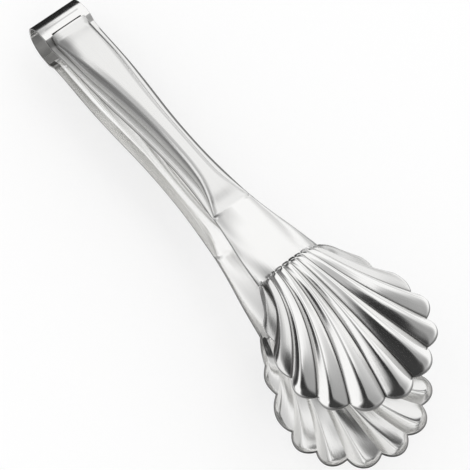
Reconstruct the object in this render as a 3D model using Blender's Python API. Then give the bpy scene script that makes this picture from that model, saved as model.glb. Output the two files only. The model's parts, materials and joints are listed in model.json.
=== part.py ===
"""Scallop shell serving tongs, pressed from one strip of stainless steel sheet.

The strip bends round a spring bow and runs on into two mirrored arms. Each arm is a raised
channel between two narrow flanges, then a smooth neck, then a shell-shaped bowl of fluted lobes.
The tongs are drawn in their own frame, with X from the bow to the tip, Y across the strip and the
middle plane between the arms at Z zero, and are then laid down on the lower arm.
"""

import math

import bmesh
import bpy
from mathutils import Matrix, Vector

MM = 0.001

# Sheet
SHEET_THICKNESS = 0.9 * MM
STRIP_WIDTH = 23.6 * MM
FLEX_GAP = 0.3 * MM

# Spring bow, on its outer face: a flat end, half an ellipse, short legs, and the waist behind them
BOW_DEPTH = 11.6 * MM
BOW_HEIGHT = 22.0 * MM
BOW_FLAT = 1.8 * MM
BOW_LEG = 0.4 * MM
WAIST_RUN = 6.0 * MM
WAIST_HEIGHT = 8.45 * MM

# Start of the raised channel, from the end of the bow's half ellipse
STEP_SETBACK = 1.3 * MM
STEP_RUN = 0.8 * MM

# Places along an arm, from the end of the bow
KNEE_PLACE = 129.5 * MM
KNEE_ROUNDING = 2.0 * MM
HEAD_PLACE = 167.0 * MM
TIP_PLACE = 240.0 * MM

# Heights above the middle plane, on the outer face
HEAD_EDGE_HEIGHT = 24.3 * MM
RIM_HEIGHT = 27.4 * MM
RIM_RISE = 5.0 * MM

# Heights above the flanges or the side edges
CHANNEL_HEIGHT = 10.4 * MM
KNEE_CROWN = 2.0 * MM
NECK_CROWN = 10.5 * MM

# Bowl
LOBES = 11
LOBE_PITCH_AT_HEADS = 3.23 * MM
HEAD_LINE_BOW = 2.5 * MM
BOWL_HALF_WIDTH = 31.2 * MM
BOWL_BULGE = 7.4 * MM
PLAN_BOW = 4.0 * MM
FLUTE_HEIGHT = 4.0 * MM

# Half width of the strip: (share of the way from the bow to the flute heads, share of the width)
STRIP_WIDTH_SHARES = (
    (0.0, 1.0), (0.08, 0.995), (0.14, 0.945), (0.2, 0.93), (0.26, 0.91), (0.34, 0.847),
    (0.446, 0.735), (0.52, 0.683), (0.6, 0.668), (0.68, 0.714), (0.775, 0.829), (0.841, 0.964),
    (0.913, 1.145), (1.0, 1.32),
)
# Height of the flanges: (share of the way from the waist to the flute heads, share of the rise)
FLANGE_RISE_SHARES = (
    (0.0, 0.0), (0.055, 0.078), (0.174, 0.188), (0.267, 0.256), (0.387, 0.35), (0.466, 0.43),
    (0.552, 0.52), (0.645, 0.596), (0.751, 0.655), (0.824, 0.729), (0.904, 0.845), (1.0, 1.0),
)
# Height of the channel: (share of the way from the bow to the knee, share of the rise above its
# height at the knee)
CHANNEL_HEIGHT_SHARES = (
    (0.0, 0.0), (0.1, 0.05), (0.127, 0.28), (0.154, 0.39), (0.189, 0.51), (0.282, 0.78),
    (0.375, 0.93), (0.467, 0.99), (0.575, 1.0), (0.683, 0.95), (0.8, 0.79), (0.865, 0.63),
    (0.927, 0.39), (0.973, 0.12), (1.0, 0.0),
)
# Half width of the channel: (share of the way from the bow to the knee, share of the strip's)
CHANNEL_WIDTH_SHARES = (
    (0.0, 0.74), (0.1, 0.76), (0.155, 0.8), (0.297, 0.77), (0.436, 0.662), (0.575, 0.59),
    (0.72, 0.572), (0.83, 0.56), (0.876, 0.59), (0.93, 0.73), (1.0, 0.97),
)

# End of each valley on the rim, by valley number from the middle of the bowl outward: (share of
# the way from the heads to the tip, share of the half width). The last pair is the rounded corner
# where the rim meets the side edge.
VALLEY_END_SHARES = (
    (0.997, 0.225), (0.904, 0.65), (0.759, 0.917), (0.577, 1.0), (0.341, 0.837), (0.159, 0.685),
)
PLAN_BOW_SHARES = (0.32, 0.79, 1.0, 0.95, 0.8, -0.08)
FLUTE_HEIGHT_SHARES = ((0, 1.0), (1, 1.0), (2, 0.9), (3, 0.83), (4, 0.8), (5, 0.58))
BULGE_FALL_SHARE = 0.55

# Shape exponents
HAT_ROUNDNESS = 0.55
NECK_ROUNDNESS = 0.8
NECK_GROWTH = 1.4
RIDGE_ROUNDING = 0.25
FLUTE_GROWTH = 0.6
RIM_LEVELLING = 6
BULGE_START = 0.795
BULGE_END = 0.62
ROW_SPACING = 1.25

# Counts and shares of the mesh
FLANGE_SHARE = 0.2
SLOPE_STEP_SHARE = 0.01
HANDLE_ROW_COUNT = 22
STEP_ROW_COUNT = 3
NECK_ROW_COUNT = 6
BOWL_ROW_COUNT = 13
LOBE_CELL_COUNT = 6
HAT_CELL_COUNT = 5
BOW_TURN_COUNT = 10
BOW_ACROSS_COUNT = 2
TILT_HALVING_COUNT = 50

# Places that follow from the sizes above
FLEX_LINE = BOW_DEPTH + BOW_LEG
WAIST_PLACE = BOW_DEPTH + WAIST_RUN
STEP_PLACE = BOW_DEPTH + STEP_SETBACK

# Bright stainless steel
STEEL_COLOUR = (0.78, 0.78, 0.77, 1.0)
STEEL_ROUGHNESS = 0.22


def curve_through(table, place):
    """A smooth curve through (place, value) pairs, read at one place."""
    last = len(table) - 1
    i = 0
    while i < last - 1 and place > table[i + 1][0]:
        i += 1

    def slope(j):
        before, after = table[max(j - 1, 0)], table[min(j + 1, last)]
        return (after[1] - before[1]) / (after[0] - before[0])

    (x0, y0), (x1, y1) = table[i], table[i + 1]
    span = x1 - x0
    s = (place - x0) / span
    rise = y0 + (y1 - y0) * s * s * (3 - 2 * s)
    return rise + span * s * (1 - s) * (slope(i) * (1 - s) - slope(i + 1) * s)


def ease(share):
    share = min(max(share, 0.0), 1.0)
    return share * share * (3 - 2 * share)


def arch(off, squareness, roundness):
    """A rise that is 1 in the middle, where off is 0, and 0 at the edges, where it is 1."""
    return max(1 - abs(off) ** squareness, 0.0) ** roundness


def edge_half_width(x):
    return STRIP_WIDTH / 2 * curve_through(STRIP_WIDTH_SHARES, x / HEAD_PLACE)


def flange_height(x):
    """The side edges leave the bow, draw in at the waist and then spread towards the bowl."""
    if x < WAIST_PLACE:
        drawn_in = ease((x - STEP_PLACE) / (WAIST_PLACE - STEP_PLACE))
        return BOW_HEIGHT / 2 + (WAIST_HEIGHT - BOW_HEIGHT / 2) * drawn_in
    share = (x - WAIST_PLACE) / (HEAD_PLACE - WAIST_PLACE)
    rise = HEAD_EDGE_HEIGHT - WAIST_HEIGHT
    return WAIST_HEIGHT + rise * curve_through(FLANGE_RISE_SHARES, share)


def hat_point(x, across):
    """A point of the handle: two flat flanges with a raised channel between them."""
    rise = curve_through(CHANNEL_HEIGHT_SHARES, x / KNEE_PLACE)
    channel = KNEE_CROWN + (CHANNEL_HEIGHT - KNEE_CROWN) * rise
    channel *= ease((x - STEP_PLACE) / STEP_RUN)
    half = edge_half_width(x)
    foot = half * curve_through(CHANNEL_WIDTH_SHARES, x / KNEE_PLACE)
    side = math.copysign(1.0, across)
    inner = 1 - FLANGE_SHARE
    if abs(across) >= inner:
        out = (abs(across) - inner) / FLANGE_SHARE
        return Vector((x, side * (foot + (half - foot) * out), flange_height(x)))
    turn = math.pi / 2 * (1 - abs(across) / inner)
    y = side * foot * math.cos(turn) ** HAT_ROUNDNESS
    z = flange_height(x) + channel * math.sin(turn) ** HAT_ROUNDNESS
    return Vector((x, y, z))


def neck_point(share, across):
    """A point of the neck, from the knee (share 0) to the line of flute heads (share 1)."""
    end = head_point(across * LOBES / 2)
    x = KNEE_PLACE + (end.x - KNEE_PLACE) * share
    edge_x = KNEE_PLACE + (HEAD_PLACE - KNEE_PLACE) * share
    half = edge_half_width(edge_x)
    off = across + (end.y / edge_half_width(HEAD_PLACE) - across) * share
    knee = KNEE_CROWN * (1 - ease(share)) * arch(off, 2 / HAT_ROUNDNESS, HAT_ROUNDNESS)
    crown = NECK_CROWN * share ** NECK_GROWTH * arch(off, 2, NECK_ROUNDNESS)
    return Vector((x, half * off, flange_height(edge_x) + knee + crown))


def head_point(lobe):
    """A point on the crosswise line where the flutes begin, by lobe number from the middle."""
    edge = edge_half_width(HEAD_PLACE)
    last_valley = LOBES / 2 - 1
    y = LOBE_PITCH_AT_HEADS * min(abs(lobe), last_valley)
    y += (edge - y) * max(abs(lobe) - last_valley, 0.0)
    z = HEAD_EDGE_HEIGHT + NECK_CROWN * arch(y / edge, 2, NECK_ROUNDNESS)
    x = HEAD_PLACE + HEAD_LINE_BOW * arch(y / edge, 2, 1)
    return Vector((x, math.copysign(y, lobe), z))


def mirrored_table(values, odd):
    """Values at the valleys of one half of the bowl, laid out over both halves."""
    right = [(i + 0.5, value) for i, value in enumerate(values)]
    left = [(-place, -value if odd else value) for place, value in reversed(right)]
    return left + right


RIM_ALONG = mirrored_table([pair[0] for pair in VALLEY_END_SHARES], False)
RIM_ACROSS = mirrored_table([pair[1] for pair in VALLEY_END_SHARES], True)
RIM_PLAN_BOW = mirrored_table(PLAN_BOW_SHARES, True)


def rim_point(lobe):
    """A point of the plain rim that the valleys end on, before the lobes swell it."""
    x = HEAD_PLACE + (TIP_PLACE - HEAD_PLACE) * curve_through(RIM_ALONG, lobe)
    y = BOWL_HALF_WIDTH * curve_through(RIM_ACROSS, lobe)
    return Vector((x, y, rim_height(x)))


def rim_height(x):
    """The rim lies in one plane, which rises a little towards the tip."""
    middle = (HEAD_PLACE + TIP_PLACE) / 2
    return RIM_HEIGHT + RIM_RISE * (x - middle) / (TIP_PLACE - HEAD_PLACE)


def plain_bowl_point(lobe, share):
    """A point of the bowl without its flutes: share 0 is at the heads and share 1 on the rim."""
    start, end = head_point(lobe), rim_point(lobe)
    point = start.lerp(end, share)
    run = Vector((end.x - start.x, end.y - start.y, 0.0)).normalized()
    inward = PLAN_BOW * curve_through(RIM_PLAN_BOW, lobe) * 4 * share * (1 - share)
    point += Vector((run.y, -run.x, 0.0)) * inward
    top = BULGE_START / (BULGE_START + BULGE_END)
    peak = top ** BULGE_START * (1 - top) ** BULGE_END
    swell = share ** BULGE_START * (1 - share) ** BULGE_END / peak
    point.z += BOWL_BULGE * swell * (1 - BULGE_FALL_SHARE * (2 * lobe / LOBES) ** 2)
    return point


def ridge(off, rounding):
    """Two flat faces that meet in a rounded ridge: 1 on its top and 0 where off is 1."""
    drop = math.hypot(off, rounding) - rounding
    return 1 - drop / (math.hypot(1, rounding) - rounding)


def bowl_point(lobe, share):
    """A point of the fluted bowl. Each lobe is a ridge that rounds off towards the rim."""
    point = plain_bowl_point(lobe, share)
    off_middle = 2 * abs(lobe - round(lobe))
    if share == 0 or off_middle == 1:
        return point
    step = SLOPE_STEP_SHARE
    along = plain_bowl_point(lobe, min(share + step, 1)) - plain_bowl_point(lobe, share - step)
    near, far = max(lobe - step, -LOBES / 2), min(lobe + step, LOBES / 2)
    over = plain_bowl_point(far, share) - plain_bowl_point(near, share)
    out = along.cross(over).normalized()
    at_rim = share ** RIM_LEVELLING
    out.z *= 1 - at_rim
    height = FLUTE_HEIGHT * curve_through(FLUTE_HEIGHT_SHARES, abs(round(lobe)))
    section = ridge(off_middle, RIDGE_ROUNDING) * (1 - at_rim) + arch(off_middle, 2, 1) * at_rim
    point += out.normalized() * height * share ** FLUTE_GROWTH * section
    if share == 1:
        point.z = rim_height(point.x)
    return point


def spread(first, last, cells):
    return [first + (last - first) * i / cells for i in range(cells + 1)]


def arm_rows():
    """The rows of points of an arm's outer face, from the bow to the rim, each with its places."""
    outer = [1.0] + spread(1 - FLANGE_SHARE, 0.0, HAT_CELL_COUNT)
    hat = [-place for place in outer] + outer[-2::-1]
    start = FLEX_LINE + FLEX_GAP / 2
    step_end = STEP_PLACE + STEP_RUN
    stations = [start] + spread(STEP_PLACE, step_end, STEP_ROW_COUNT)
    stations += spread(step_end, KNEE_PLACE - KNEE_ROUNDING, HANDLE_ROW_COUNT)[1:]
    rows = [[(place, hat_point(x, place)) for place in hat] for x in stations]
    halves = spread(-1.0, 1.0, 2 * LOBES)
    for share in spread(0.0, 1.0, NECK_ROW_COUNT)[:-1]:
        rows.append([(place, neck_point(share, place)) for place in halves])
    fine = spread(-1.0, 1.0, LOBES * LOBE_CELL_COUNT)
    for i in range(BOWL_ROW_COUNT + 1):
        share = 1 - (1 - i / BOWL_ROW_COUNT) ** ROW_SPACING
        rows.append([(place, bowl_point(place * LOBES / 2, share)) for place in fine])
    return rows


def join_rows(mesh, first, second):
    """Faces between two rows of (place, vertex), which may hold different numbers of points."""
    if len(first) == len(second):
        for i in range(len(first) - 1):
            mesh.faces.new((first[i][1], second[i][1], second[i + 1][1], first[i + 1][1]))
        return
    i = j = 0
    while i < len(first) - 1 or j < len(second) - 1:
        ahead = first[min(i + 1, len(first) - 1)][0], second[min(j + 1, len(second) - 1)][0]
        if j == len(second) - 1 or (i < len(first) - 1 and ahead[0] < ahead[1]):
            mesh.faces.new((first[i][1], second[j][1], first[i + 1][1]))
            i += 1
        else:
            mesh.faces.new((first[i][1], second[j][1], second[j + 1][1]))
            j += 1


def sheet_object(name, rows, side, frame):
    """A piece of sheet whose outer face passes through the rows of points."""
    mesh = bmesh.new()
    rows = [
        [(place, mesh.verts.new((point.x, point.y, side * point.z))) for place, point in row]
        for row in rows
    ]
    for first, second in zip(rows, rows[1:]):
        join_rows(mesh, first, second)
    if side < 0:
        bmesh.ops.reverse_faces(mesh, faces=mesh.faces)
    data = bpy.data.meshes.new(name)
    mesh.to_mesh(data)
    mesh.free()
    data.shade_smooth()
    piece = bpy.data.objects.new(name, data)
    bpy.context.scene.collection.objects.link(piece)
    piece.parent = frame
    solid = piece.modifiers.new("sheet", "SOLIDIFY")
    solid.thickness = SHEET_THICKNESS
    solid.offset = -1
    solid.use_even_offset = True
    solid.use_quality_normals = True
    data.materials.append(steel(name))
    return piece


def steel(name):
    material = bpy.data.materials.new(name + "_steel")
    material.use_nodes = True
    shader = material.node_tree.nodes["Principled BSDF"]
    shader.inputs["Base Color"].default_value = STEEL_COLOUR
    shader.inputs["Metallic"].default_value = 1.0
    shader.inputs["Roughness"].default_value = STEEL_ROUGHNESS
    return material


def bow_rows():
    """The bow's outer face: a leg, a quarter ellipse, the flat end, and the same below it."""
    leg_end = FLEX_LINE - FLEX_GAP / 2
    upper = [(leg_end, flange_height(leg_end))]
    for turn in spread(math.pi / 2, 0.0, BOW_TURN_COUNT):
        x = BOW_DEPTH * (1 - math.cos(turn))
        upper.append((x, BOW_FLAT / 2 + (BOW_HEIGHT - BOW_FLAT) / 2 * math.sin(turn)))
    path = upper + [(x, -z) for x, z in reversed(upper)]
    places = spread(-1.0, 1.0, BOW_ACROSS_COUNT)
    return [
        [(place, Vector((x, place * edge_half_width(x), z))) for place in places]
        for x, z in reversed(path)
    ]


def lay_down(frame, pieces):
    """Tilts and lifts the tongs so that they rest on the lower arm's handle and bowl."""
    points = [vertex.co.copy() for piece in pieces for vertex in piece.data.vertices]
    handle = [point for point in points if point.x < KNEE_PLACE]
    bowl = [point for point in points if point.x > KNEE_PLACE]

    def lowest(some, tilt):
        return min(point.x * math.sin(tilt) + point.z * math.cos(tilt) for point in some)

    low, high = 0.0, math.pi / 4
    for _ in range(TILT_HALVING_COUNT):
        tilt = (low + high) / 2
        if lowest(handle, tilt) > lowest(bowl, tilt):
            low = tilt
        else:
            high = tilt
    turn = Matrix.Rotation(-tilt, 4, "Y")
    turned = [turn @ point for point in points]
    middle_x = (min(p.x for p in turned) + max(p.x for p in turned)) / 2
    bottom = min(p.z for p in turned)
    frame.matrix_world = Matrix.Translation((-middle_x, 0.0, -bottom)) @ turn


def main():
    for thing in list(bpy.data.objects):
        bpy.data.objects.remove(thing)
    frame = bpy.data.objects.new("tongs_frame", None)
    bpy.context.scene.collection.objects.link(frame)
    bow = sheet_object("spring_bow", bow_rows(), 1, frame)
    rows = arm_rows()
    upper = sheet_object("upper_arm", rows, 1, frame)
    lower = sheet_object("lower_arm", rows, -1, frame)
    lay_down(frame, [bow, upper, lower])


main()
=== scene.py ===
"""Looks of the scallop shell serving tongs: one bright strip of sheet steel, bent and pressed."""

import json
import math

import bmesh  # noqa: E402
import bpy  # noqa: E402
import numpy as np  # noqa: E402
from mathutils import Matrix, Vector  # noqa: E402

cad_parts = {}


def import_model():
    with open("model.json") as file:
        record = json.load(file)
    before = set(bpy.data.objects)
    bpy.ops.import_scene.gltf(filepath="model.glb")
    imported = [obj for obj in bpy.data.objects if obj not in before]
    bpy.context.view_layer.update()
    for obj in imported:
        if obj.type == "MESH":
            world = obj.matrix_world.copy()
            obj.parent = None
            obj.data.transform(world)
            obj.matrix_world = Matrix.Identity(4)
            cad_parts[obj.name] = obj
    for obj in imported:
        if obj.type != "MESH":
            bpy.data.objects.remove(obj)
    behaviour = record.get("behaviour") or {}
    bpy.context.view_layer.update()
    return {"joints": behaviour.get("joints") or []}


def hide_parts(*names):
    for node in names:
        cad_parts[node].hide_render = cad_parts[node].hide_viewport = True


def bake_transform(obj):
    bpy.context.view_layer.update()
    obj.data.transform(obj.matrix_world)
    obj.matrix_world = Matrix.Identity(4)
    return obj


MM = 0.001

# Sheet and spring bow
SHEET_THICKNESS = 0.9 * MM
STRIP_WIDTH = 23.6 * MM
BOW_DEPTH = 11.6 * MM
BOW_FLAT = 1.8 * MM
BOW_HEIGHT = 22.0 * MM
BOW_LEG = 0.4 * MM
WAIST_RUN = 6.0 * MM
WAIST_HEIGHT = 8.45 * MM

# Channel
STEP_SETBACK = 1.3 * MM
STEP_RUN = 0.8 * MM
CHANNEL_HEIGHT = 10.4 * MM
KNEE_CROWN = 2.0 * MM

# Places along an arm, from the end of the bow
KNEE_PLACE = 129.5 * MM
HEAD_PLACE = 167.0 * MM
TIP_PLACE = 240.0 * MM

# Heights above the middle plane
HEAD_EDGE_HEIGHT = 24.3 * MM
RIM_HEIGHT = 27.4 * MM
RIM_RISE = 5.0 * MM
NECK_CROWN = 10.5 * MM

# Bowl
LOBES = 11
LOBE_PITCH_AT_HEADS = 3.23 * MM
HEAD_LINE_BOW = 2.5 * MM
BOWL_HALF_WIDTH = 31.2 * MM
BOWL_BULGE = 7.4 * MM
PLAN_BOW = 4.0 * MM
FLUTE_HEIGHT = 4.0 * MM

# Half width of the strip: (share of the way from the bow to the flute heads, share of the width)
STRIP_WIDTH_SHARES = (
    (0.0, 1.0), (0.08, 0.995), (0.14, 0.945), (0.2, 0.93), (0.26, 0.91), (0.34, 0.847),
    (0.446, 0.735), (0.52, 0.683), (0.6, 0.668), (0.68, 0.714), (0.775, 0.829), (0.841, 0.964),
    (0.913, 1.145), (1.0, 1.32),
)
# Height of the flanges: (share of the way from the waist to the flute heads, share of the rise)
FLANGE_RISE_SHARES = (
    (0.0, 0.0), (0.055, 0.078), (0.174, 0.188), (0.267, 0.256), (0.387, 0.35), (0.466, 0.43),
    (0.552, 0.52), (0.645, 0.596), (0.751, 0.655), (0.824, 0.729), (0.904, 0.845), (1.0, 1.0),
)
# Height of the channel: (share of the way from the bow to the knee, share of the rise above its
# height at the knee)
CHANNEL_HEIGHT_SHARES = (
    (0.0, 0.0), (0.1, 0.05), (0.127, 0.28), (0.154, 0.39), (0.189, 0.51), (0.282, 0.78),
    (0.375, 0.93), (0.467, 0.99), (0.575, 1.0), (0.683, 0.95), (0.8, 0.79), (0.865, 0.63),
    (0.927, 0.39), (0.973, 0.12), (1.0, 0.0),
)
# Half width of the channel: (share of the way from the bow to the knee, share of the strip's)
CHANNEL_WIDTH_SHARES = (
    (0.0, 0.74), (0.1, 0.76), (0.155, 0.8), (0.297, 0.77), (0.436, 0.662), (0.575, 0.59),
    (0.72, 0.572), (0.83, 0.56), (0.876, 0.59), (0.93, 0.73), (1.0, 0.97),
)
# End of each valley on the rim, from the middle of the bowl outward: (share of the way from the
# heads to the tip, share of the half width)
VALLEY_END_SHARES = (
    (0.997, 0.225), (0.904, 0.65), (0.759, 0.917), (0.577, 1.0), (0.341, 0.837), (0.159, 0.685),
)
PLAN_BOW_SHARES = (0.32, 0.79, 1.0, 0.95, 0.8, -0.08)
# Height of each lobe's flute: (lobe number from the middle, share of the height)
FLUTE_HEIGHT_SHARES = ((0, 1.0), (1, 1.0), (2, 0.9), (3, 0.83), (4, 0.8), (5, 0.58))
BULGE_FALL_SHARE = 0.55

# Shape exponents
HAT_ROUNDNESS = 0.55
NECK_ROUNDNESS = 0.8
NECK_GROWTH = 1.4
RIDGE_ROUNDING = 0.18
FLUTE_GROWTH = 0.6
RIM_LEVELLING = 40
BULGE_START = 0.8
BULGE_END = 0.85

# Grooves that sharpen the valleys near the flute heads
GROOVE_DEPTH = 0.45 * MM
GROOVE_START = 0.016
GROOVE_END = 0.35
GROOVE_NARROWNESS = 4

# Mesh
FLANGE_SHARE = 0.2
SLOPE_STEP = 0.004
LOBE_CELLS = 16
BOW_ROWS = 36
WAIST_ROWS = 10
STEP_ROWS = 6
HANDLE_ROWS = 100
NECK_ROWS = 30
HEAD_ROWS = 14
BOWL_ROWS = 52
RIM_ROWS = 20
HEAD_ROWS_SHARE = 0.06
RIM_ROWS_SHARE = 0.91
EDGE_ROUNDING = 0.22 * MM
SMOOTH_ANGLE = 40

# Painted shade, which darkens places towards nearly black and makes them rougher: 0 is bright and 1 is
# nearly black
VALLEY_PAINTED_SHADE = 0.92
VALLEY_START_ROWS = 2
RIM_LINE_PAINTED_SHADE = 0.7
RIM_LINE_ROWS = 2
KNEE_PAINTED_SHADE = 0.25
KNEE_NARROWNESS = 2
KNEE_FADE = 3
HANDLE_PAINTED_SHADE = 0.1
FLANGE_PAINTED_SHADE = 0.65
FLANGE_SHADE_ROWS = 40
FOOT_PAINTED_SHADE = 0.6
STEP_LINE_PAINTED_SHADOW = 1.0
STEP_LINE_SHARE = 0.65
STEP_LINE_ROWS = 8
BEND_LINE_PAINTED_SHADE = 0.4
BEND_LINE_SHARE = 0.75
BEND_LINE_ROW = 31
LEFT_EDGE_PAINTED_SHADE = 0.4
RIGHT_EDGE_PAINTED_SHADE = 0.75
EDGE_COLUMNS = 5
EDGE_START_ROWS = 12
BOW_INSIDE_PAINTED_SHADE = 0.5
BOW_INSIDE_START_ROW = 8
BOW_INSIDE_END_ROWS = 4
BOWL_INSIDE_PAINTED_SHADE = 0.06

# Painted shade on the outermost lobes, by lobe number from the middle: where each stretch starts, its
# run and its amount of shade
OUTER_LOBES_SHADE = (3.4, 0.2, 0.12)
END_LOBES_SHADE = (4.4, 0.2, 0.13)
# Painted shade on a band beside the valleys between the fourth and fifth lobes: where it starts and
# ends, the run of each end, and its amount of shade
OUTER_VALLEY_SHADE = (4.05, 4.55, 0.1, 0.76)
LOBE_SHADE_START = 0.1

# Places and counts that follow from the sizes above
FLEX_LINE = BOW_DEPTH + BOW_LEG
WAIST_PLACE = BOW_DEPTH + WAIST_RUN
STEP_PLACE = BOW_DEPTH + STEP_SETBACK
HANDLE_START = BOW_ROWS + 2 + WAIST_ROWS
NECK_START = HANDLE_START + STEP_ROWS + HANDLE_ROWS - 1
BOWL_START = NECK_START + NECK_ROWS
COLUMNS = LOBES * LOBE_CELLS + 1
ACROSS = np.linspace(-1, 1, COLUMNS)
NECK_SHARES = np.linspace(0, 1, NECK_ROWS + 1)[:-1, None]

# Steel: colour and roughness of the faces and of the cut edges. The cut edges' darker grey is partly
# their rougher finish and partly painted shade for the dark outline along the edges
FACE_STEEL = ((0.99, 0.987, 0.976), 0.15)
CUT_STEEL_AND_SHADE = ((0.62, 0.615, 0.605), 0.25)
# The nearly black colour and the added roughness that painted shade mixes in
PAINTED_SHADE_COLOUR = (0.03, 0.028, 0.025, 1.0)
PAINTED_SHADE_ROUGHNESS = 0.5
# Grain: cells across the strip and along it, its detail, and how much it changes tone and gloss
GRAIN = (220.0, 14.0, 1.0)
GRAIN_DETAIL = 5.0
GRAIN_ROUGHNESS = 0.7
GRAIN_TONE = 0.1
GRAIN_GLOSS = 0.15
# Slight waves: cells across the strip and along it, their detail and their depth
WAVES = (90.0, 5.0, 1.0)
WAVE_DETAIL = 1.0
WAVE_DEPTH = 0.03 * MM
# Half the length of a stretch round each arm's flex line; the ends of this stretch are worked out, but
# nothing uses them
BLEND_REACH = 3.0 * MM

# Camera, in the tongs' own frame
CAMERA_PLACE = (0.66947, -0.39748, 1.35334)
CAMERA_RIGHT = (0.61257, 0.79033, -0.01171)
CAMERA_UP = (-0.7058, 0.5536, 0.44202)
CAMERA_LENS = 273.885
CAMERA_REACH = 20.0

# Studio cards, seen only in reflections. Each is curved round a place (metres), and its azimuth
# from +X and its height angle are followed by distance, width and height angles, level and softness.
BOWL = (0.09, -0.025, 0.07)
HANDLE = (-0.06, -0.005, 0.04)
BOW = (-0.1, 0.0, 0.03)
MIDDLE = (0.0, 0.0, 0.0)
CARDS = (
    ("tip_low", MIDDLE, -31, 28, 1.0, 98, 68, 0.045, 0.4),
    ("tip_high", MIDDLE, -55, 60, 1.05, 110, 42, 0.03, 0.5),
    ("tip_left_fringe", MIDDLE, -86, 54, 1.1, 76, 56, 0.2, 1.0),
    ("tip_right_fringe", MIDDLE, 10, 38, 1.1, 200, 100, 0.35, 1.0),
    ("top_fringe", MIDDLE, 0, 68, 1.2, 150, 46, 0.35, 1.0),
    ("left_high", MIDDLE, 222, 52, 1.15, 110, 60, 0.5, 1.0),
    ("right_low", MIDDLE, 118, 5, 1.25, 56, 90, 0.66, 1.0),
    ("bowl_flag", BOWL, 216, -4, 0.1, 26, 50, 0.03, 0.5),
    ("handle_side", HANDLE, 233, -4, 0.12, 69, 92, 0.18, 1.0),
    ("bow_side", BOW, 205, 12, 0.05, 76, 54, 0.25, 1.0),
    ("bow_end_low", MIDDLE, 187, 0, 0.6, 70, 18, 0.02, 0.08),
)
CARD_CELLS = 16
# Mats on the floor, seen only in reflections: middle, size, turn, level and softness
MATS = (
    # The bowl's mat is a painted shadow: a nearly black patch on the floor beside the tongs, where
    # their shade falls, seen only in the steel
    ("bowl_shadow_mat", (0.008, -0.036), (0.06, 0.052), -20, 0.01, 0.4),
    ("handle_mat", (-0.085, -0.105), (0.23, 0.17), 0, 0.22, 0.4),
    ("bow_mat", (-0.37, 0.0), (0.49, 0.5), 0, 0.02, 0.05),
    ("far_mat", (-0.05, 0.085), (0.27, 0.16), 0, 0.55, 1.0),
    ("head_mat", (0.015, 0.06), (0.07, 0.07), 0, 0.1, 1.0),
)

# Floor, just below the tongs. Part of its white is plain, so that the tongs' shadow stays light.
FLOOR_LEVEL = -0.7 * MM
MAT_LEVEL = -0.6 * MM
FLOOR_REACH = 6.0
PLAIN_WHITE_SHARE = 0.6


def curve_through(table, place):
    """A smooth curve through (place, value) pairs, read at an array of places."""
    x, y = np.array(table, float).T
    last = len(x) - 1
    slope = np.empty(last + 1)
    slope[1:-1] = (y[2:] - y[:-2]) / (x[2:] - x[:-2])
    slope[0] = (y[1] - y[0]) / (x[1] - x[0])
    slope[-1] = (y[-1] - y[-2]) / (x[-1] - x[-2])
    place = np.asarray(place, float)
    i = np.clip(np.searchsorted(x, place, side="left") - 1, 0, last - 1)
    span = x[i + 1] - x[i]
    s = (place - x[i]) / span
    rise = y[i] + (y[i + 1] - y[i]) * s * s * (3 - 2 * s)
    return rise + span * s * (1 - s) * (slope[i] * (1 - s) - slope[i + 1] * s)


def ease(share):
    share = np.clip(share, 0.0, 1.0)
    return share * share * (3 - 2 * share)


def arch(off, squareness, roundness):
    """A rise that is 1 in the middle, where off is 0, and 0 at the edges, where it is 1."""
    return np.maximum(1 - np.abs(off) ** squareness, 0.0) ** roundness


def edge_half_width(x):
    return STRIP_WIDTH / 2 * curve_through(STRIP_WIDTH_SHARES, x / HEAD_PLACE)


def flange_height(x):
    """The side edges leave the bow, draw in at the waist and then spread towards the bowl."""
    drawn_in = ease((x - STEP_PLACE) / (WAIST_PLACE - STEP_PLACE))
    near = BOW_HEIGHT / 2 + (WAIST_HEIGHT - BOW_HEIGHT / 2) * drawn_in
    share = (x - WAIST_PLACE) / (HEAD_PLACE - WAIST_PLACE)
    rise = HEAD_EDGE_HEIGHT - WAIST_HEIGHT
    far = WAIST_HEIGHT + rise * curve_through(FLANGE_RISE_SHARES, share)
    return np.where(x < WAIST_PLACE, near, far)


def stack(x, y, z):
    return np.stack(np.broadcast_arrays(x, y, z), axis=-1)


def hat_surface(x, across):
    """The handle: two flat flanges with a raised channel between them."""
    rise = curve_through(CHANNEL_HEIGHT_SHARES, x / KNEE_PLACE)
    channel = KNEE_CROWN + (CHANNEL_HEIGHT - KNEE_CROWN) * rise
    channel = channel * ease((x - STEP_PLACE) / STEP_RUN)
    half = edge_half_width(x)
    foot = half * curve_through(CHANNEL_WIDTH_SHARES, x / KNEE_PLACE)
    side = np.where(across < 0, -1.0, 1.0)
    inner = 1 - FLANGE_SHARE
    out = np.clip((np.abs(across) - inner) / FLANGE_SHARE, 0, 1)
    turn = math.pi / 2 * (1 - np.clip(np.abs(across) / inner, 0, 1))
    y = side * (foot * np.cos(turn) ** HAT_ROUNDNESS + (half - foot) * out)
    z = flange_height(x) + channel * np.sin(turn) ** HAT_ROUNDNESS
    return stack(x, y, z)


def head_line(lobe):
    """The crosswise line where the flutes begin."""
    edge = edge_half_width(HEAD_PLACE)
    last_valley = LOBES / 2 - 1
    y = LOBE_PITCH_AT_HEADS * np.minimum(np.abs(lobe), last_valley)
    y = y + (edge - y) * np.maximum(np.abs(lobe) - last_valley, 0.0)
    z = HEAD_EDGE_HEIGHT + NECK_CROWN * arch(y / edge, 2, NECK_ROUNDNESS)
    x = HEAD_PLACE + HEAD_LINE_BOW * arch(y / edge, 2, 1)
    return stack(x, np.copysign(y, lobe), z)


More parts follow.
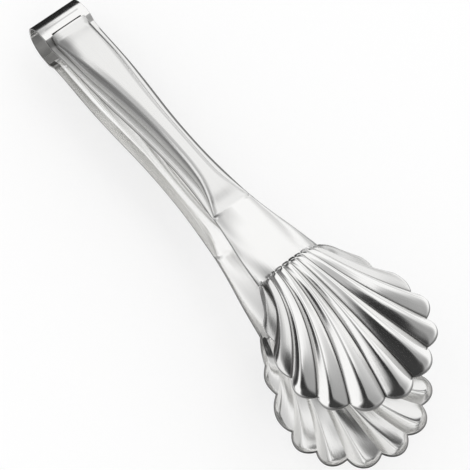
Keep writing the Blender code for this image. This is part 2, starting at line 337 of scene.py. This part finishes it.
def neck_surface(share, across):
    """The neck, from the knee (share 0) to the line of flute heads (share 1)."""
    end = head_line(across * LOBES / 2)
    x = KNEE_PLACE + (end[..., 0] - KNEE_PLACE) * share
    edge_x = KNEE_PLACE + (HEAD_PLACE - KNEE_PLACE) * share
    half = edge_half_width(edge_x)
    off = across + (end[..., 1] / edge_half_width(HEAD_PLACE) - across) * share
    knee = KNEE_CROWN * (1 - ease(share)) * arch(off, 2 / HAT_ROUNDNESS, HAT_ROUNDNESS)
    crown = NECK_CROWN * share**NECK_GROWTH * arch(off, 2, NECK_ROUNDNESS)
    return stack(x, half * off, flange_height(edge_x) + knee + crown)


def mirrored_table(values, odd):
    """Values at the valleys of one half of the bowl, laid out over both halves."""
    right = [(i + 0.5, value) for i, value in enumerate(values)]
    left = [(-place, -value if odd else value) for place, value in reversed(right)]
    return left + right


RIM_ALONG = mirrored_table([pair[0] for pair in VALLEY_END_SHARES], False)
RIM_ACROSS = mirrored_table([pair[1] for pair in VALLEY_END_SHARES], True)
RIM_PLAN_BOW = mirrored_table(PLAN_BOW_SHARES, True)


def rim_height(x):
    """The rim lies in one plane, which rises a little towards the tip."""
    middle = (HEAD_PLACE + TIP_PLACE) / 2
    return RIM_HEIGHT + RIM_RISE * (x - middle) / (TIP_PLACE - HEAD_PLACE)


def rim_line(lobe):
    """The plain rim that the valleys end on, before the lobes swell it."""
    x = HEAD_PLACE + (TIP_PLACE - HEAD_PLACE) * curve_through(RIM_ALONG, lobe)
    y = BOWL_HALF_WIDTH * curve_through(RIM_ACROSS, lobe)
    return stack(x, y, rim_height(x))


def plain_bowl(lobe, share):
    """The bowl without its flutes: share 0 is at the heads and share 1 on the rim."""
    start, end = head_line(lobe), rim_line(lobe)
    point = start + (end - start) * share[..., None]
    run = end - start
    run[..., 2] = 0
    run /= np.linalg.norm(run, axis=-1, keepdims=True)
    inward = PLAN_BOW * curve_through(RIM_PLAN_BOW, lobe) * 4 * share * (1 - share)
    point[..., 0] += run[..., 1] * inward
    point[..., 1] -= run[..., 0] * inward
    top = BULGE_START / (BULGE_START + BULGE_END)
    peak = top**BULGE_START * (1 - top) ** BULGE_END
    swell = share**BULGE_START * (1 - share) ** BULGE_END / peak
    point[..., 2] += BOWL_BULGE * swell * (1 - BULGE_FALL_SHARE * (2 * lobe / LOBES) ** 2)
    return point


def ridge(off, rounding):
    """Two flat faces that meet in a rounded ridge: 1 on its top and 0 where off is 1."""
    drop = np.hypot(off, rounding) - rounding
    return 1 - drop / (math.hypot(1, rounding) - rounding)


def bowl_surface(lobe, share):
    """The fluted bowl: each lobe is a ridge between two sharp valleys, and ends on the flat rim."""
    point = plain_bowl(lobe, share)
    off_middle = 2 * np.abs(lobe - np.round(lobe))
    step = SLOPE_STEP
    before, after = np.maximum(share - step, 0), np.minimum(share + step, 1)
    along = plain_bowl(lobe, after) - plain_bowl(lobe, before)
    near = np.maximum(lobe - step, -LOBES / 2)
    far = np.minimum(lobe + step, LOBES / 2)
    over = plain_bowl(far, share) - plain_bowl(near, share)
    out = np.cross(along, over)
    out /= np.linalg.norm(out, axis=-1, keepdims=True)
    at_rim = share**RIM_LEVELLING
    out[..., 2] *= 1 - at_rim
    out /= np.linalg.norm(out, axis=-1, keepdims=True)
    height = FLUTE_HEIGHT * curve_through(FLUTE_HEIGHT_SHARES, np.abs(np.round(lobe)))
    profile = ridge(off_middle, RIDGE_ROUNDING) * (1 - at_rim)
    profile = profile + (1 - off_middle**2) * at_rim
    height = height * share**FLUTE_GROWTH * profile
    groove = GROOVE_DEPTH * ease(share / GROOVE_START) * (1 - ease(share / GROOVE_END))
    height = height - groove * off_middle**GROOVE_NARROWNESS
    point = point + out * height[..., None]
    point[..., 2] = np.where(share == 1, rim_height(point[..., 0]), point[..., 2])
    return point


def bowl_places():
    """The lobe and share of each point of the bowl's rows."""
    rows = (
        np.linspace(0, HEAD_ROWS_SHARE, HEAD_ROWS + 1)[:-1],
        np.linspace(HEAD_ROWS_SHARE, RIM_ROWS_SHARE, BOWL_ROWS + 1)[:-1],
        np.linspace(RIM_ROWS_SHARE, 1, RIM_ROWS + 1),
    )
    share = np.concatenate(rows)[:, None]
    lobe, share = np.broadcast_arrays(ACROSS * LOBES / 2, share)
    return lobe.copy(), share.copy()


def arm_grid():
    """The outer face of half the strip, from the middle of the bow to the rim, row by row."""
    turn = np.linspace(0, math.pi / 2, BOW_ROWS + 1)[:, None]
    bow_x = BOW_DEPTH * (1 - np.cos(turn))
    bow_z = BOW_FLAT / 2 + (BOW_HEIGHT - BOW_FLAT) / 2 * np.sin(turn)
    waist_x = np.linspace(BOW_DEPTH, STEP_PLACE, WAIST_ROWS + 1)[1:, None]
    step_end = STEP_PLACE + STEP_RUN
    step_x = np.linspace(STEP_PLACE, step_end, STEP_ROWS + 1)[1:, None]
    handle_x = np.linspace(step_end, KNEE_PLACE, HANDLE_ROWS + 1)[1:-1, None]
    blocks = (
        stack(np.zeros((1, 1)), ACROSS * edge_half_width(0.0), 0.0),
        stack(bow_x, ACROSS * edge_half_width(bow_x), bow_z),
        stack(waist_x, ACROSS * edge_half_width(waist_x), flange_height(waist_x)),
        hat_surface(step_x, ACROSS),
        hat_surface(handle_x, ACROSS),
        neck_surface(NECK_SHARES, ACROSS),
        bowl_surface(*bowl_places()),
    )
    return np.concatenate(blocks)


def lobe_painted_shade(lobe):
    """How much shade is painted on the outermost lobes and on the bands beside their valleys."""
    off = np.abs(lobe)
    outer = 0.0
    for start, run, level in (OUTER_LOBES_SHADE, END_LOBES_SHADE):
        outer = outer + level * ease((off - start) / run)
    start, end, run, level = OUTER_VALLEY_SHADE
    return outer + level * ease((off - start) / run) * ease((end - off) / run)


def outer_painted_shade():
    """How much shade is painted on each point of the outer face."""
    lobe, share = bowl_places()
    painted_shade = np.zeros((BOWL_START + len(share), COLUMNS))
    # Painted shade on the outermost lobes and beside their valleys, growing in from the heads
    painted_shade[BOWL_START:] = lobe_painted_shade(lobe) * ease(share / LOBE_SHADE_START)
    column = np.arange(COLUMNS)
    valley = (column % LOBE_CELLS == 0) & (column > 0) & (column < COLUMNS - 1)
    # Painted shade: thin dark lines down the valleys, where shade falls in the creases
    painted_shade[BOWL_START + VALLEY_START_ROWS :, valley] = VALLEY_PAINTED_SHADE
    # Painted shade: a dark line along the rim
    painted_shade[-RIM_LINE_ROWS:] = RIM_LINE_PAINTED_SHADE
    # Painted shade on the left side of the knee, fading along the neck
    left = np.clip(ACROSS * KNEE_NARROWNESS + 1, -1, 1)
    knee = arch(left, 2, 1) * (1 - ease(KNEE_FADE * NECK_SHARES))
    painted_shade[NECK_START:BOWL_START] += KNEE_PAINTED_SHADE * knee
    # Painted shade: the whole handle a little darker
    painted_shade[HANDLE_START + STEP_ROWS : NECK_START] = HANDLE_PAINTED_SHADE
    # Painted shade on the left flange near the bow, fading away from it
    flange = ACROSS < FLANGE_SHARE - 1
    fade = 1 - ease(np.arange(FLANGE_SHADE_ROWS) / FLANGE_SHADE_ROWS)[:, None]
    painted_shade[HANDLE_START : HANDLE_START + FLANGE_SHADE_ROWS, flange] = FLANGE_PAINTED_SHADE * fade
    # Painted shade: a dark line along the crease at the foot of the channel's left side
    foot = np.abs(ACROSS + 1 - FLANGE_SHARE) < 1.0 / COLUMNS
    painted_shade[HANDLE_START:NECK_START, foot] = FOOT_PAINTED_SHADE
    # Painted shadow: a black line at the foot of the step where the channel begins
    step_line = np.abs(ACROSS) < STEP_LINE_SHARE
    step_rows = slice(HANDLE_START - STEP_LINE_ROWS, HANDLE_START + STEP_ROWS - 1)
    painted_shade[step_rows, step_line] = STEP_LINE_PAINTED_SHADOW
    # Painted shade: a grey line across the bow
    painted_shade[BEND_LINE_ROW, np.abs(ACROSS) < BEND_LINE_SHARE] = BEND_LINE_PAINTED_SHADE
    # Painted shade: dark bands along both edges of the handle and neck
    edge_rows = slice(HANDLE_START + EDGE_START_ROWS, BOWL_START)
    painted_shade[edge_rows, :EDGE_COLUMNS] = LEFT_EDGE_PAINTED_SHADE
    painted_shade[edge_rows, -EDGE_COLUMNS:] = RIGHT_EDGE_PAINTED_SHADE
    return painted_shade


def inner_painted_shade(rows):
    """How much shade is painted on each point of the inner face."""
    painted_shade = np.zeros((rows, COLUMNS))
    # Painted shade inside the bow, and a slight one inside the bowl
    painted_shade[BOW_INSIDE_START_ROW : BOW_ROWS - BOW_INSIDE_END_ROWS] = BOW_INSIDE_PAINTED_SHADE
    painted_shade[BOWL_START:] = BOWL_INSIDE_PAINTED_SHADE
    return painted_shade


class TongsFrame:
    """Turns places in the tongs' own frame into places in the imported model's frame."""

    def __init__(self, joints):
        hinge = {joint["name"]: np.array(joint["pos_m"]) for joint in joints}
        upper, lower = hinge["upper_flex"], hinge["lower_flex"]
        self.up = (upper - lower) / np.linalg.norm(upper - lower)
        self.side = np.array([0.0, 1.0, 0.0])
        self.along = np.cross(self.side, self.up)
        self.start = (upper + lower) / 2 - self.along * FLEX_LINE

    def turned(self, points):
        points = np.asarray(points, float)
        return points @ np.array([self.along, self.side, self.up])

    def placed(self, points):
        return self.turned(points) + self.start


def sheet_piece(name, grid, painted_shades, side, place, material, edge_material):
    """A piece of sheet whose outer face passes through the grid of points."""
    rows, columns = grid.shape[:2]
    points = grid.reshape(-1, 3) * [1, 1, side]
    index = np.arange(rows * columns).reshape(rows, columns)
    quads = np.stack([index[:-1, :-1], index[1:, :-1], index[1:, 1:], index[:-1, 1:]], -1)
    quads = quads.reshape(-1, 4)
    if side < 0:
        quads = quads[:, ::-1]
    mesh = bpy.data.meshes.new(name)
    mesh.from_pydata(place.placed(points).tolist(), [], quads.tolist())
    row, column = np.divmod(quads.ravel(), columns)
    layer = mesh.uv_layers.new(name="grain")
    layer.data.foreach_set("uv", np.stack([column / columns, row / rows], -1).ravel())
    piece = bpy.data.objects.new(name, mesh)
    bpy.context.scene.collection.objects.link(piece)
    mesh.materials.append(material)
    mesh.materials.append(edge_material)
    solid = piece.modifiers.new("sheet", "SOLIDIFY")
    solid.thickness = SHEET_THICKNESS
    solid.offset = -1
    solid.use_even_offset = True
    solid.use_quality_normals = True
    solid.material_offset_rim = 1
    graph = bpy.context.evaluated_depsgraph_get()
    final = bpy.data.meshes.new_from_object(piece.evaluated_get(graph))
    piece.modifiers.clear()
    piece.data = final
    # The amount of painted shade at each point, for the steel's material
    painted_shade = final.attributes.new("painted_shade_amount", "FLOAT", "POINT")
    painted_shade.data.foreach_set("value", painted_shades.ravel().astype(np.float32))
    round_edges(final)
    final.shade_smooth()
    final.set_sharp_from_angle(angle=math.radians(SMOOTH_ANGLE))
    return piece


def round_edges(mesh):
    """Round the edges of the cut sheet."""
    cut = bmesh.new()
    cut.from_mesh(mesh)
    edges = [
        edge
        for edge in cut.edges
        if len(edge.link_faces) == 2
        and edge.link_faces[0].material_index != edge.link_faces[1].material_index
    ]
    bmesh.ops.bevel(
        cut, geom=edges, offset=EDGE_ROUNDING, segments=2, profile=0.5, affect="EDGES", material=2
    )
    # The rounded faces take the cut edge material, whose darker grey is partly painted shade for the
    # outline
    for face in cut.faces:
        face.material_index = min(face.material_index, 1)
    cut.to_mesh(mesh)
    cut.free()


def stretched_noise(nodes, links, place, cells, detail):
    """Noise with so many cells across the strip and along it."""
    stretch = nodes.new("ShaderNodeMapping")
    stretch.inputs["Scale"].default_value = cells
    noise = nodes.new("ShaderNodeTexNoise")
    noise.inputs["Scale"].default_value = 1.0
    noise.inputs["Detail"].default_value = detail
    links.new(place.outputs["UV"], stretch.inputs["Vector"])
    links.new(stretch.outputs["Vector"], noise.inputs["Vector"])
    return noise


def steel(name, colour, roughness):
    """Bright steel with grain along the strip and slight waves. Where shade is painted, it is darker
    and rougher.
    """
    material = bpy.data.materials.new(name)
    material.use_nodes = True
    nodes, links = material.node_tree.nodes, material.node_tree.links
    shader = nodes["Principled BSDF"]
    shader.inputs["Metallic"].default_value = 1.0
    place = nodes.new("ShaderNodeTexCoord")
    grain = stretched_noise(nodes, links, place, GRAIN, GRAIN_DETAIL)
    grain.inputs["Roughness"].default_value = GRAIN_ROUGHNESS
    tint = nodes.new("ShaderNodeMix")
    tint.data_type = "RGBA"
    tint.inputs["A"].default_value = tuple(c * (1 - GRAIN_TONE) for c in colour) + (1.0,)
    tint.inputs["B"].default_value = colour + (1.0,)
    links.new(grain.outputs["Fac"], tint.inputs["Factor"])
    # Painted shade: the base colour is mixed towards nearly black, and the roughness raised, by the
    # amount stored at each point
    painted_shade_input = nodes.new("ShaderNodeAttribute")
    painted_shade_input.attribute_name = "painted_shade_amount"
    painted_shade = nodes.new("ShaderNodeMix")
    painted_shade.data_type = "RGBA"
    painted_shade.inputs["B"].default_value = PAINTED_SHADE_COLOUR
    links.new(painted_shade_input.outputs["Fac"], painted_shade.inputs["Factor"])
    links.new(tint.outputs["Result"], painted_shade.inputs["A"])
    links.new(painted_shade.outputs["Result"], shader.inputs["Base Color"])
    gloss = nodes.new("ShaderNodeMapRange")
    gloss.inputs["To Min"].default_value = roughness * (1 - GRAIN_GLOSS)
    gloss.inputs["To Max"].default_value = roughness * (1 + GRAIN_GLOSS)
    links.new(grain.outputs["Fac"], gloss.inputs["Value"])
    rougher = nodes.new("ShaderNodeMath")
    rougher.operation = "MULTIPLY_ADD"
    rougher.inputs[1].default_value = PAINTED_SHADE_ROUGHNESS
    links.new(painted_shade_input.outputs["Fac"], rougher.inputs[0])
    links.new(gloss.outputs["Result"], rougher.inputs[2])
    links.new(rougher.outputs["Value"], shader.inputs["Roughness"])
    waves = stretched_noise(nodes, links, place, WAVES, WAVE_DETAIL)
    bump = nodes.new("ShaderNodeBump")
    bump.inputs["Distance"].default_value = WAVE_DEPTH
    links.new(waves.outputs["Fac"], bump.inputs["Height"])
    links.new(bump.outputs["Normal"], shader.inputs["Normal"])
    return material


def make_tongs(place):
    grid = arm_grid()
    painted_shades = np.stack([outer_painted_shade(), inner_painted_shade(len(grid))])
    bright = steel("polished_steel", *FACE_STEEL)
    cut = steel("cut_edge_steel_and_shade", *CUT_STEEL_AND_SHADE)
    fringe = np.array([BLEND_REACH, 0.0, 0.0])
    for side, name, nodes in ((1, "upper", ("upper_arm", "spring_bow")), (-1, "lower", ("lower_arm",))):
        piece = sheet_piece(name + "_strip", grid, painted_shades, side, place, bright, cut)
        flex = np.array([FLEX_LINE, 0.0, side * BOW_HEIGHT / 2])
        start, end = place.placed(flex - fringe), place.placed(flex + fringe)
        tuple(start)
        tuple(end)
        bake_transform(piece)
        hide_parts(*nodes)


def make_camera(place):
    data = bpy.data.cameras.new("camera")
    data.lens = CAMERA_LENS
    data.sensor_width = 36.0
    data.clip_end = CAMERA_REACH
    camera = bpy.data.objects.new("camera", data)
    bpy.context.scene.collection.objects.link(camera)
    right = Vector(place.turned(CAMERA_RIGHT)).normalized()
    up = Vector(place.turned(CAMERA_UP))
    back = right.cross(up).normalized()
    up = back.cross(right)
    turn = Matrix((right, up, back)).transposed()
    camera.matrix_world = Matrix.Translation(place.placed(CAMERA_PLACE)) @ turn.to_4x4()
    bpy.context.scene.camera = camera


def card_material(name, level, soft):
    """Plain paint of one level that fades to nothing towards the card's edges.

    A fully soft card fades as an oval, and any other as a rectangle with well rounded corners.
    """
    material = bpy.data.materials.new(name + "_card")
    material.use_nodes = True
    nodes, links = material.node_tree.nodes, material.node_tree.links
    nodes.clear()
    output = nodes.new("ShaderNodeOutputMaterial")
    mix = nodes.new("ShaderNodeMixShader")
    clear = nodes.new("ShaderNodeBsdfTransparent")
    paint = nodes.new("ShaderNodeEmission")
    paint.inputs["Color"].default_value = (level, level, level, 1)
    place = nodes.new("ShaderNodeTexCoord")
    centred = nodes.new("ShaderNodeVectorMath")
    centred.operation = "MULTIPLY_ADD"
    centred.inputs[1].default_value = (2, 2, 0)
    centred.inputs[2].default_value = (-1, -1, 0)
    squared = nodes.new("ShaderNodeVectorMath")
    squared.operation = "MULTIPLY"
    squared_again = nodes.new("ShaderNodeVectorMath")
    squared_again.operation = "MULTIPLY"
    reach = nodes.new("ShaderNodeVectorMath")
    reach.operation = "DOT_PRODUCT"
    reach.inputs[1].default_value = (1, 1, 0)
    fade = nodes.new("ShaderNodeMapRange")
    fade.interpolation_type = "SMOOTHSTEP"
    fade.inputs["From Min"].default_value = 1.0
    fade.inputs["From Max"].default_value = (1 - soft) ** 4
    links.new(place.outputs["UV"], centred.inputs[0])
    links.new(centred.outputs[0], squared.inputs[0])
    links.new(centred.outputs[0], squared.inputs[1])
    links.new(squared.outputs[0], squared_again.inputs[0])
    links.new(squared.outputs[0], squared_again.inputs[1])
    links.new((squared if soft == 1 else squared_again).outputs[0], reach.inputs[0])
    links.new(reach.outputs["Value"], fade.inputs["Value"])
    links.new(fade.outputs["Result"], mix.inputs["Fac"])
    links.new(clear.outputs[0], mix.inputs[1])
    links.new(paint.outputs[0], mix.inputs[2])
    links.new(mix.outputs[0], output.inputs["Surface"])
    return material


def show_in_reflections_only(thing):
    thing.visible_camera = False
    thing.visible_diffuse = False
    thing.visible_shadow = False


def make_card(name, centre, azimuth, height, distance, width, tall, level, soft):
    """A card curved round a place, so many degrees wide and tall."""
    points = []
    for j in range(CARD_CELLS + 1):
        for i in range(CARD_CELLS + 1):
            turn = math.radians(azimuth + width * (i / CARD_CELLS - 0.5))
            rise = math.radians(height + tall * (j / CARD_CELLS - 0.5))
            points.append(
                (
                    centre[0] + distance * math.cos(rise) * math.cos(turn),
                    centre[1] + distance * math.cos(rise) * math.sin(turn),
                    centre[2] + distance * math.sin(rise),
                )
            )
    index = np.arange(len(points)).reshape(CARD_CELLS + 1, CARD_CELLS + 1)
    quads = np.stack([index[:-1, :-1], index[:-1, 1:], index[1:, 1:], index[1:, :-1]], -1)
    mesh = bpy.data.meshes.new(name)
    mesh.from_pydata(points, [], quads.reshape(-1, 4).tolist())
    uv = mesh.uv_layers.new(name="card")
    for loop in mesh.loops:
        j, i = divmod(loop.vertex_index, CARD_CELLS + 1)
        uv.data[loop.index].uv = (i / CARD_CELLS, j / CARD_CELLS)
    card = bpy.data.objects.new(name, mesh)
    bpy.context.scene.collection.objects.link(card)
    mesh.materials.append(card_material(name, level, soft))
    show_in_reflections_only(card)


def make_mat(name, middle, size, turn, level, soft):
    """A flat mat on the floor."""
    mesh = bpy.data.meshes.new(name)
    corners = ((-0.5, -0.5), (0.5, -0.5), (0.5, 0.5), (-0.5, 0.5))
    mesh.from_pydata([(x * size[0], y * size[1], 0) for x, y in corners], [], [(0, 1, 2, 3)])
    uv = mesh.uv_layers.new(name="card")
    for loop, (x, y) in enumerate(corners):
        uv.data[loop].uv = (x + 0.5, y + 0.5)
    mesh.materials.append(card_material(name, level, soft))
    mat = bpy.data.objects.new(name, mesh)
    mat.location = (middle[0], middle[1], MAT_LEVEL)
    mat.rotation_euler.z = math.radians(turn)
    bpy.context.scene.collection.objects.link(mat)
    show_in_reflections_only(mat)


def floor_material():
    """White that takes shadows, mixed with plain white where it is seen, directly or in the steel."""
    material = bpy.data.materials.new("white_floor")
    material.use_nodes = True
    nodes, links = material.node_tree.nodes, material.node_tree.links
    shader = nodes["Principled BSDF"]
    shader.inputs["Base Color"].default_value = (1, 1, 1, 1)
    shader.inputs["Roughness"].default_value = 1.0
    shader.inputs["Specular IOR Level"].default_value = 0.0
    ray = nodes.new("ShaderNodeLightPath")
    seen = nodes.new("ShaderNodeMath")
    seen.operation = "MAXIMUM"
    seen_through = nodes.new("ShaderNodeMath")
    seen_through.operation = "MAXIMUM"
    share = nodes.new("ShaderNodeMath")
    share.operation = "MULTIPLY"
    share.inputs[1].default_value = PLAIN_WHITE_SHARE
    white = nodes.new("ShaderNodeEmission")
    mix = nodes.new("ShaderNodeMixShader")
    links.new(ray.outputs["Is Camera Ray"], seen.inputs[0])
    links.new(ray.outputs["Is Glossy Ray"], seen.inputs[1])
    links.new(seen.outputs[0], seen_through.inputs[0])
    links.new(ray.outputs["Is Transmission Ray"], seen_through.inputs[1])
    links.new(seen_through.outputs[0], share.inputs[0])
    links.new(share.outputs[0], mix.inputs["Fac"])
    links.new(shader.outputs[0], mix.inputs[1])
    links.new(white.outputs[0], mix.inputs[2])
    links.new(mix.outputs[0], nodes["Material Output"].inputs["Surface"])
    return material


def make_floor():
    mesh = bpy.data.meshes.new("floor")
    reach = FLOOR_REACH
    corners = [(-reach, -reach, 0), (reach, -reach, 0), (reach, reach, 0), (-reach, reach, 0)]
    mesh.from_pydata(corners, [], [(0, 1, 2, 3)])
    mesh.materials.append(floor_material())
    floor = bpy.data.objects.new("floor", mesh)
    floor.location.z = FLOOR_LEVEL
    bpy.context.scene.collection.objects.link(floor)


def make_world():
    """White all round."""
    world = bpy.data.worlds.new("studio")
    world.use_nodes = True
    shader = world.node_tree.nodes["Background"]
    shader.inputs["Color"].default_value = (1, 1, 1, 1)
    shader.inputs["Strength"].default_value = 1.0
    bpy.context.scene.world = world


def main():
    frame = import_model()
    place = TongsFrame(frame["joints"])
    make_tongs(place)
    make_camera(place)
    make_world()
    make_floor()
    for mat in MATS:
        make_mat(*mat)
    for card in CARDS:
        make_card(*card)
    bpy.context.scene.view_settings.view_transform = "Standard"


main()
